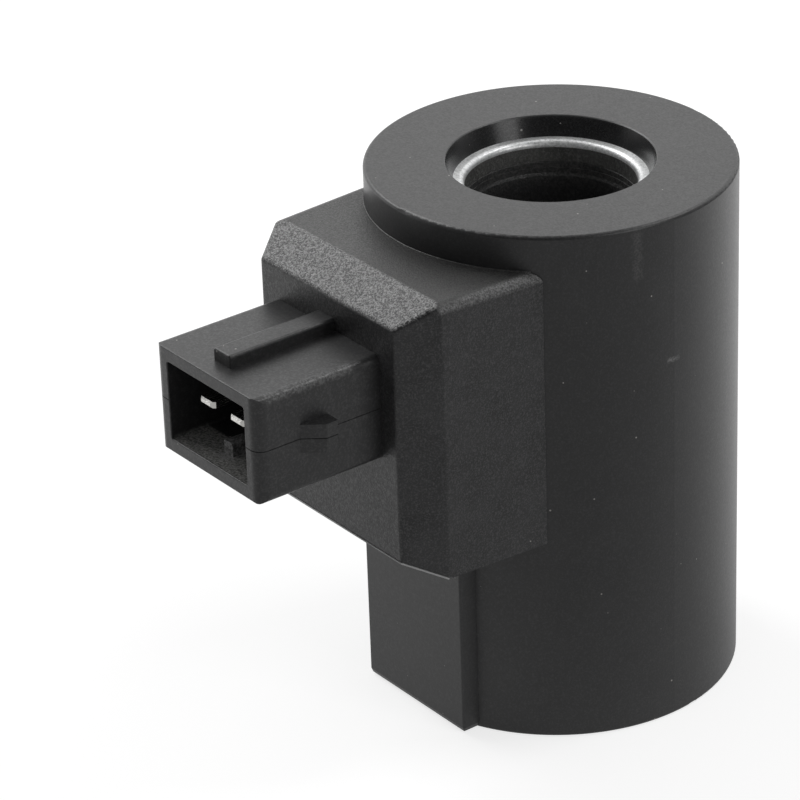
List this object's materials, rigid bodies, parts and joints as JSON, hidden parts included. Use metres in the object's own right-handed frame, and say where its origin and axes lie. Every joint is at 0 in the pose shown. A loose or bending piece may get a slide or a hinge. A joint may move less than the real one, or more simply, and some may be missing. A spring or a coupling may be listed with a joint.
{
  "type": "solenoid valve coil",
  "caption": "Round black moulded solenoid coil with an open centre bore, steel pole rings, a bevelled side block, a rectangular blade plug socket and a flat-faced key.",
  "frame": {"origin": "on the bore axis, halfway between the two end faces", "axes": "+Z along the bore from the keyed end to the other end face; -Y points out of the connector; +X completes a right-handed frame"},
  "size_m": [0.045, 0.0739, 0.0674],
  "materials": {
    "jacket_plastic": "satin moulded",
    "block_plastic": "coarse spark-eroded grain",
    "header_plastic": "smooth satin moulded",
    "tinned_brass": "bright tin plate",
    "inner_plastic": "moulded",
    "bobbin_plastic": "glass-filled, moulded",
    "collar_resin": "granular resin",
    "zinc_plated_steel": "bright zinc plate",
    "yoke_steel": "plain drawn tube",
    "copper_winding": "enamelled wire",
    "polyester_tape": "smooth tape",
    "copper_wire": "enamelled wire",
    "lead_sleeving": "woven sleeving",
    "solder": "bright solder"
  },
  "bodies": {
    "root": {"moulded_jacket": "jacket_plastic", "terminal_block": "block_plastic", "connector_header": "header_plastic", "left_terminal_tab": "tinned_brass", "right_terminal_tab": "tinned_brass", "terminal_carrier": "inner_plastic", "bobbin": "bobbin_plastic", "upper_insulating_collar": "collar_resin", "lower_insulating_collar": "collar_resin", "upper_pole_ring": "zinc_plated_steel", "lower_pole_ring": "zinc_plated_steel", "yoke_tube": "yoke_steel", "winding": "copper_winding", "winding_tape": "polyester_tape", "start_lead": "copper_wire", "finish_lead": "copper_wire", "start_lead_sleeve": "lead_sleeving", "finish_lead_sleeve": "lead_sleeving", "start_solder_joint": "solder", "finish_solder_joint": "solder"}
  },
  "joints": []
}
